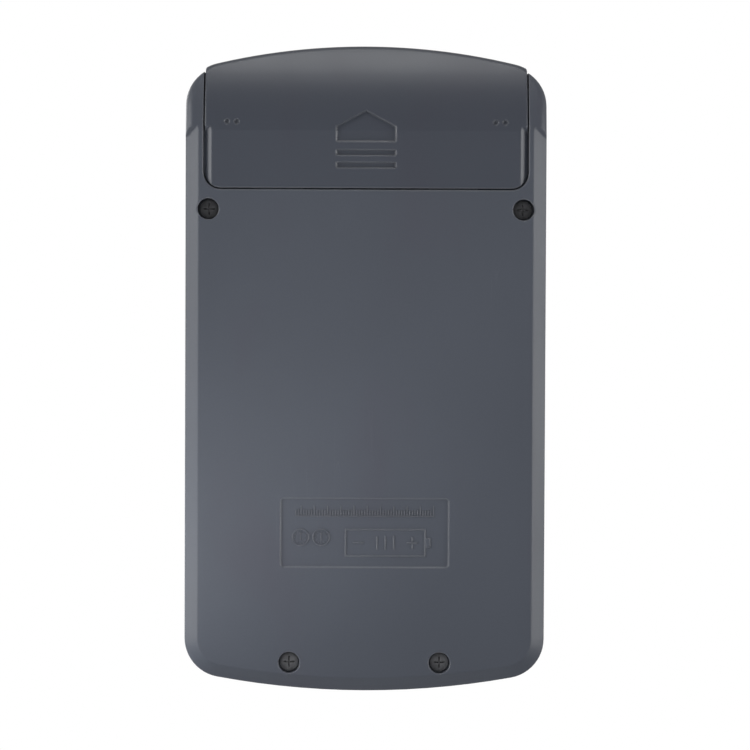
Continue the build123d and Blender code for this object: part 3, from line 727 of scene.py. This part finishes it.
def segmentOutline(ends):  # pointed bar between two points
    start, stop = Vector(ends[0]), Vector(ends[1])
    along = (stop - start).normalized()
    side = Vector((-along.y, along.x)) * display["stroke"] / 2
    reach = along * display["stroke"] / 2
    return [start, start + reach + side, stop - reach + side, stop, stop - reach - side, start + reach - side]


def addSegment(bm, ends, origin):
    lean = display["slant"]
    rise = display["glass"] + 0.5 * display["thick"]
    corners = [
        bm.verts.new(((origin + p.x + p.y * lean) * mm, (display["middle"] + p.y) * mm, rise * mm))
        for p in segmentOutline(ends)
    ]
    face = bm.faces.new(corners)
    made = bmesh.ops.extrude_face_region(bm, geom=[face])
    verts = [item for item in made["geom"] if isinstance(item, bmesh.types.BMVert)]
    bmesh.ops.translate(bm, vec=(0.0, 0.0, display["thick"] * mm), verts=verts)


def digitBars():
    wide, tall = display["digit"][0] / 2, display["digit"][1] / 2
    gap = display["gap"]
    return {
        "top": ((-wide + gap, tall), (wide - gap, tall)),
        "middle": ((-wide + gap, 0.0), (wide - gap, 0.0)),
        "bottom": ((-wide + gap, -tall), (wide - gap, -tall)),
        "upperLeft": ((-wide, gap), (-wide, tall - gap)),
        "upperRight": ((wide, gap), (wide, tall - gap)),
        "lowerLeft": ((-wide, -tall + gap), (-wide, -gap)),
        "lowerRight": ((wide, -tall + gap), (wide, -gap)),
    }


def makeDigits():
    lit, resting = bmesh.new(), bmesh.new()
    bars = digitBars()
    for place in range(display["count"]):
        origin = (place - (display["count"] - 1) / 2) * display["pitch"] + display["shift"]
        for name, ends in bars.items():
            shown = place == display["count"] - 1 and name != "middle"
            addSegment(lit if shown else resting, ends, origin)
        x, y = display["digit"][0] / 2 + display["dotAt"], -display["digit"][1] / 2
        dot = ((x - display["dotHalf"], y), (x + display["dotHalf"], y))
        addSegment(lit if place == display["count"] - 1 else resting, dot, origin)
    for name, bm, finish in (("litDigits", lit, "segment"), ("restingDigits", resting, "ghost")):
        bmesh.ops.recalc_face_normals(bm, faces=bm.faces)
        bmesh.ops.transform(bm, matrix=slopeFrame, verts=bm.verts)
        addPiece(name, bm, finishes[finish], "case")


makeDigits()
print("display made")


# moulded marks in the label recess: a cell, two mould dials and a tick scale

label = {
    "middle": -31.0, "floor": 0.30, "rise": 0.13, "bite": 0.05, "line": 0.32,
    "scaleAt": 4.1, "scaleHalf": 13.0, "ticks": 53, "dialAt": (12.1, 8.2), "dialRadius": 1.7,
    "tickTall": (1.9, 1.1), "tickWide": 0.2, "dialY": -0.9, "dialLine": 0.28, "dialDots": 12, "dotRing": 1.12,
    "dot": 0.16, "cellMiddle": (-3.9, -1.9), "cellSize": (15.0, 5.0), "signIn": 2.4, "signLong": 2.1,
}


def addMark(bm, x, y, wide, tall):  # raised bar on the floor of the recess
    top, foot = label["floor"] - label["rise"], label["floor"] + label["bite"]
    y += label["middle"]
    addBlock(bm, (x - wide / 2, y - tall / 2, top), (x + wide / 2, y + tall / 2, foot))


def addRing(bm, x, y, radius, line):  # raised ring
    top, foot = label["floor"] - label["rise"], label["floor"] + label["bite"]
    profile = [
        (foot, radius), (top, radius), (top, radius - line), (foot, radius - line), (foot, radius),
    ]
    lathe(bm, profile, (x, y + label["middle"], 0.0), (0.0, 0.0, 1.0), 32)


def makeLabelMarks():
    bm = bmesh.new()
    line = label["line"]
    for number in range(label["ticks"]):
        x = label["scaleHalf"] * (2 * number / (label["ticks"] - 1) - 1)
        tall = label["tickTall"][0 if number % 5 == 0 else 1]
        addMark(bm, x, label["scaleAt"] + tall / 2 - 0.9, label["tickWide"], tall)
    addMark(bm, 0.0, label["scaleAt"] - 0.98, 2 * label["scaleHalf"] + label["tickWide"], 0.16)
    x, y = label["cellMiddle"]
    wide, tall = label["cellSize"]
    for side in (-1, 1):
        addMark(bm, x, y + side * tall / 2, wide + line, line)
        addMark(bm, x + side * wide / 2, y, line, tall - line)
    addMark(bm, x - wide / 2 - line / 2 - 0.45, y, 0.9, 1.9)
    signLeft, signRight = x - wide / 2 + label["signIn"], x + wide / 2 - label["signIn"]
    addMark(bm, signRight, y, label["signLong"], line)
    addMark(bm, signLeft, y, label["signLong"], line)
    for side in (-1, 1):
        addMark(bm, signLeft, y + side * (0.6 + line / 4), line, 0.9)
    for number in range(3):
        addMark(bm, x + 1.6 - 1.6 * number, y, 0.3, 2.6)
    addPiece("labelMarks", bm, finishes["casing"], "case", 20.0)
    bm = bmesh.new()
    y, reach, dot = label["dialY"], label["dotRing"], label["dot"]
    for x in label["dialAt"]:
        addRing(bm, x, y, label["dialRadius"], label["dialLine"])
        for number in range(label["dialDots"]):
            angle = math.tau * number / label["dialDots"]
            addMark(bm, x + reach * math.sin(angle), y + reach * math.cos(angle), dot, dot)
        addMark(bm, x, y, 0.2, 1.2)  # the dial's pointer
        addMark(bm, x, y + 0.7, 0.55, 0.2)
    addPiece("mouldDials", bm, finishes["casing"], "case", 20.0)


makeLabelMarks()
print("label marks made")


# case screws: pan heads with a cross recess

screw = {
    "head": 1.8, "headHigh": 1.2, "shank": 1.0, "crown": 0.28, "slotLong": 1.15, "slotWide": 0.34, "slotDeep": 0.75,
    "slotOver": 0.4, "slotMouth": 1.25, "slotFoot": 0.5,
}


def crossRing(bm, centre, scale, z):  # twelve corners of a cross, at a height
    reach, thin = screw["slotLong"] * scale, screw["slotWide"] / 2 * scale
    corners = [
        (reach, thin), (thin, thin), (thin, reach), (-thin, reach), (-thin, thin), (-reach, thin),
        (-reach, -thin), (-thin, -thin), (-thin, -reach), (thin, -reach), (thin, -thin), (reach, -thin),
    ]
    return [bm.verts.new(Vector((centre.x + x, centre.y + y, z)) * mm) for x, y in corners]


def screwCutter(centres):  # tapered cross that sinks into each head
    bm = bmesh.new()
    for centre in centres:
        outer = crossRing(bm, centre, screw["slotMouth"], centre.z - screw["slotOver"])
        inner = crossRing(bm, centre, screw["slotFoot"], centre.z + screw["slotDeep"])
        for i in range(len(outer)):
            j = (i + 1) % len(outer)
            bm.faces.new((outer[i], outer[j], inner[j], inner[i]))
        bm.faces.new(outer)
        bm.faces.new(inner)
    bmesh.ops.recalc_face_normals(bm, faces=bm.faces)
    mesh = bpy.data.meshes.new("crossCutter")
    bm.to_mesh(mesh)
    bm.free()
    cutter = bpy.data.objects.new("crossCutter", mesh)
    bpy.context.scene.collection.objects.link(cutter)
    return cutter


def makeCaseScrews(node):
    low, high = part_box(node)
    low, high = low / mm, high / mm
    centres = [
        Vector((x, (low.y + high.y) / 2, low.z)) for x in (low.x + screw["head"], high.x - screw["head"])
    ]
    bm = bmesh.new()
    head, shank, crown = screw["head"] - 0.02, screw["shank"], screw["crown"]
    tall = high.z - low.z
    for centre in centres:
        profile = [
            (0.0, 0.0), (0.02, head * 0.45), (crown * 0.35, head * 0.78), (crown, head * 0.97),
            (crown + 0.2, head), (screw["headHigh"], head), (screw["headHigh"], shank),
            (tall - 0.8, shank), (tall, shank * 0.25), (tall, 0.0),
        ]
        lathe(bm, profile, centre, (0.0, 0.0, 1.0), 40)
    piece = addPiece(node.replace("_screws", "_screw_pair"), bm, finishes["steel"], "case")
    cutter = screwCutter(centres)
    cut = piece.modifiers.new("crossRecess", "BOOLEAN")
    cut.operation = "DIFFERENCE"
    cut.solver = "EXACT"
    cut.object = cutter
    bpy.context.view_layer.update()
    made = bpy.data.meshes.new_from_object(piece.evaluated_get(bpy.context.evaluated_depsgraph_get()))
    piece.modifiers.clear()
    piece.data = made
    made.set_sharp_from_angle(angle=math.radians(30.0))
    bpy.data.objects.remove(cutter)
    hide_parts(node)


makeCaseScrews("lower_case_screws")
makeCaseScrews("upper_case_screws")
print("screws made")


# cell and its spring

cell = {
    "radius": 7.25, "body": 49.5, "nub": 1.0, "nubRadius": 2.75,
    "bareEnd": 0.75, "bandLong": 13.0, "stripeAt": 13.6, "signAt": 6.0, "signLong": 1.9, "signWide": 0.42,
    "main": (0.42, 0.44, 0.46), "second": (0.03, 0.13, 0.10), "stripe": (0.70, 0.71, 0.70), "scuff": 900.0,
}


def makeCell():
    low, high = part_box("aa_cell")
    low, high = low / mm, high / mm
    axis = (low.x, (low.y + high.y) / 2, (low.z + high.z) / 2)
    body, radius = cell["body"], cell["radius"]
    profile = [
        (0.25, 0.0), (0.25, 4.6), (0.05, 5.0), (0.05, 6.2), (0.25, 6.75), (0.55, radius - 0.12), (0.9, radius),
        (body - 1.3, radius), (body - 0.9, radius - 0.10), (body - 0.55, radius - 0.35), (body - 0.3, radius - 0.9),
        (body - 0.3, 5.9), (body - 0.45, 5.5), (body - 0.45, 3.6), (body - 0.15, 3.1), (body, cell["nubRadius"]),
        (body + cell["nub"] - 0.25, cell["nubRadius"] - 0.05), (body + cell["nub"], cell["nubRadius"] - 0.35),
        (body + cell["nub"], 0.0),
    ]
    bm = bmesh.new()
    lathe(bm, profile, axis, (1.0, 0.0, 0.0), 72)
    foot, top = low.x, low.x + body
    look = dict(
        cell, sleeve=((foot + cell["bareEnd"]) * mm, (top - cell["bareEnd"]) * mm),
        band=(top - cell["bandLong"]) * mm, line=(top - cell["stripeAt"]) * mm,
        plusAt=(top - cell["signAt"]) * mm, minusAt=(foot + cell["signAt"]) * mm,
        axis=(axis[1] * mm, axis[2] * mm),
    )
    piece = addPiece("cellBody", bm, cellFinish(look), "case", 25.0)
    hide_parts("aa_cell")


spring = {"wire": 0.25, "turns": 4.0, "steps": 26}  # wire's half thickness, and steps in a turn


def makeSpring():
    low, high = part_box("contact_spring")
    low, high = low / mm, high / mm
    wire, turns, steps = spring["wire"], spring["turns"], spring["steps"]
    radius = (high.z - low.z) / 2 - wire
    centre = Vector((low.x + wire, (low.y + high.y) / 2, (low.z + high.z) / 2))
    bm = bmesh.new()
    turn = Matrix.Rotation(math.radians(90.0), 4, "X")
    place = Matrix.Translation((centre + Vector((0.0, 0.0, radius))) * mm) @ turn
    ring = bmesh.ops.create_circle(bm, segments=10, radius=wire * mm, matrix=place)["verts"]
    edges = list({edge for vert in ring for edge in vert.link_edges})
    travel = (high.x - low.x - 2 * wire) / (turns * steps) * mm
    bmesh.ops.spin(
        bm, geom=ring + edges, cent=centre * mm, axis=(1.0, 0.0, 0.0), dvec=(travel, 0.0, 0.0),
        angle=math.tau * turns, steps=int(turns * steps), use_merge=False,
    )
    bmesh.ops.holes_fill(bm, edges=[edge for edge in bm.edges if edge.is_boundary], sides=12)
    bmesh.ops.recalc_face_normals(bm, faces=bm.faces)
    piece = addPiece("cellSpring", bm, finishes["plated"], "case")
    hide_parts("contact_spring")


makeCell()
makeSpring()
print("cell and spring made")


# the moulded and bought parts that keep their own shape

ownFinish = {
    "rear_housing": "casing", "front_housing": "front", "battery_cover": "cover", "circuit_board": "board",
    "chip_cover": "potting", "board_components": "boardSteel", "display_lens": "lens", "lens_adhesive": "tape",
    "lcd_panel": "glass", "lcd_holder": "casing", "lcd_ribbon": "darkInk", "positive_contact": "plated",
    "negative_contact": "plated", "positive_lead": "redWire", "negative_lead": "blackWire",
    "board_screws": "boardSteel",
}
for nodeName, finishName in ownFinish.items():
    nodes[nodeName].material_slots[0].material = finishes[finishName]
print("carried parts finished:", len(ownFinish))
